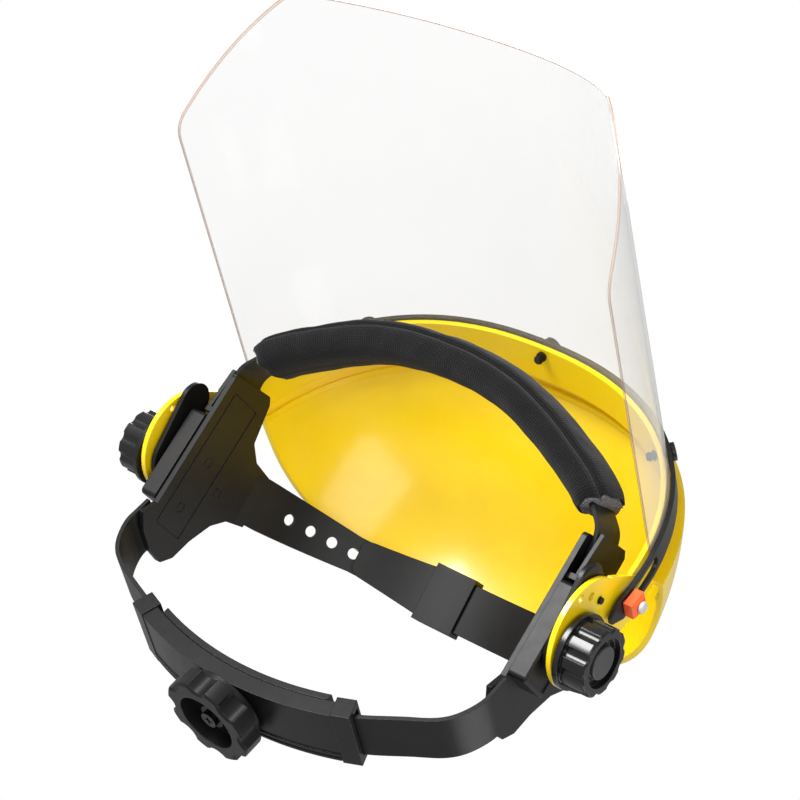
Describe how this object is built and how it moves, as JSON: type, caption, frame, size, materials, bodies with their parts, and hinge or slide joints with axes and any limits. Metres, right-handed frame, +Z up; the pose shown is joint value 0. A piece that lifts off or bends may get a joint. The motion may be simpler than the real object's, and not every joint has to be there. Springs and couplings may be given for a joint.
{
  "type": "face shield with brow guard",
  "caption": "Quarter-dome brow guard with a clear bent visor, tilting on a ratchet-adjusted headgear with crown strap and padded sweatband.",
  "frame": {"origin": "in the wearer's head, midway between the two side pivot blocks and 9 mm below the tilt axis", "axes": "+Z up along the wearer's head, the wearer faces -Y, the wearer's left is +X; the tilt axis is parallel to X"},
  "size_m": [0.2432, 0.2797, 0.2481],
  "materials": {
    "yellow_shell": "glossy",
    "clear_sheet": "glossy, clear",
    "black_strap": "satin",
    "black_nylon": "satin",
    "black_moulding": "satin",
    "orange_plastic": "satin",
    "pale_rivet": "satin",
    "steel": "brushed",
    "brass_insert": "satin",
    "grey_foam": "matt",
    "black_cloth": "matt, fine weave"
  },
  "bodies": {
    "headgear": {"side_frame_l": "black_nylon", "side_frame_r": "black_nylon", "crown_keeper": "black_nylon", "front_band": "black_nylon", "sweatband_foam": "grey_foam", "sweatband_cover": "black_cloth", "pivot_block_l": "black_nylon", "pivot_block_r": "black_nylon", "pivot_bolts": "steel", "rear_strap_l": "black_nylon", "rear_strap_r": "black_nylon"},
    "guard": {"brow_guard": "yellow_shell", "visor": "clear_sheet", "visor_strap": "black_strap", "brim_studs": "black_moulding", "clip_rivets": "pale_rivet", "stop_lever_l": "black_moulding", "stop_lever_r": "black_moulding", "pivot_washers": "steel"},
    "knob_left": {"side_knob_l": "black_moulding", "knob_cap_l": "black_moulding", "knob_insert_l": "brass_insert"},
    "knob_right": {"side_knob_r": "black_moulding", "knob_cap_r": "black_moulding", "knob_insert_r": "brass_insert"},
    "clip_left": {"strap_clip_l": "orange_plastic"},
    "clip_right": {"strap_clip_r": "orange_plastic"},
    "rear_adjuster": {"rear_housing": "black_moulding", "rear_inner_cover": "black_moulding", "detent_ring": "steel", "knob_screw": "steel"},
    "rear_knob": {"ratchet_knob": "black_moulding", "ratchet_pinion": "black_moulding"}
  },
  "joints": [
    {"name": "guard_tilt", "type": "hinge", "parent": "headgear", "child": "guard", "pos_m": [0, 0, 0.009], "axis": [-1, 0, 0], "range_deg": [-8, 85]},
    {"name": "side_knob_left_turn", "type": "hinge", "parent": "headgear", "child": "knob_left", "pos_m": [0, 0, 0.009], "axis": [1, 0, 0], "range_deg": [0, 360]},
    {"name": "side_knob_right_turn", "type": "hinge", "parent": "headgear", "child": "knob_right", "pos_m": [0, 0, 0.009], "axis": [-1, 0, 0], "range_deg": [0, 360]},
    {"name": "clip_left_turn", "type": "hinge", "parent": "guard", "child": "clip_left", "pos_m": [0, -0.02854, 0.02375], "axis": [1, 0, 0], "range_deg": [-90, 90]},
    {"name": "clip_right_turn", "type": "hinge", "parent": "guard", "child": "clip_right", "pos_m": [0, -0.02854, 0.02375], "axis": [1, 0, 0], "range_deg": [-90, 90]},
    {"name": "rear_slide", "type": "slide", "parent": "headgear", "child": "rear_adjuster", "axis": [0, 0.9272, -0.3746], "range_m": [-0.0061, 0.0102], "deforming": ["rear_strap_l", "rear_strap_r"]},
    {"name": "rear_knob_turn", "type": "hinge", "parent": "rear_adjuster", "child": "rear_knob", "pos_m": [0, 0.07636, -0.01073], "axis": [0, 0.9272, -0.3746], "range_deg": [-98, 164]}
  ],
  "couplings": [
    {"joint": "rear_slide", "follows": "rear_knob_turn", "m_per_rad": 0.0035}
  ]
}
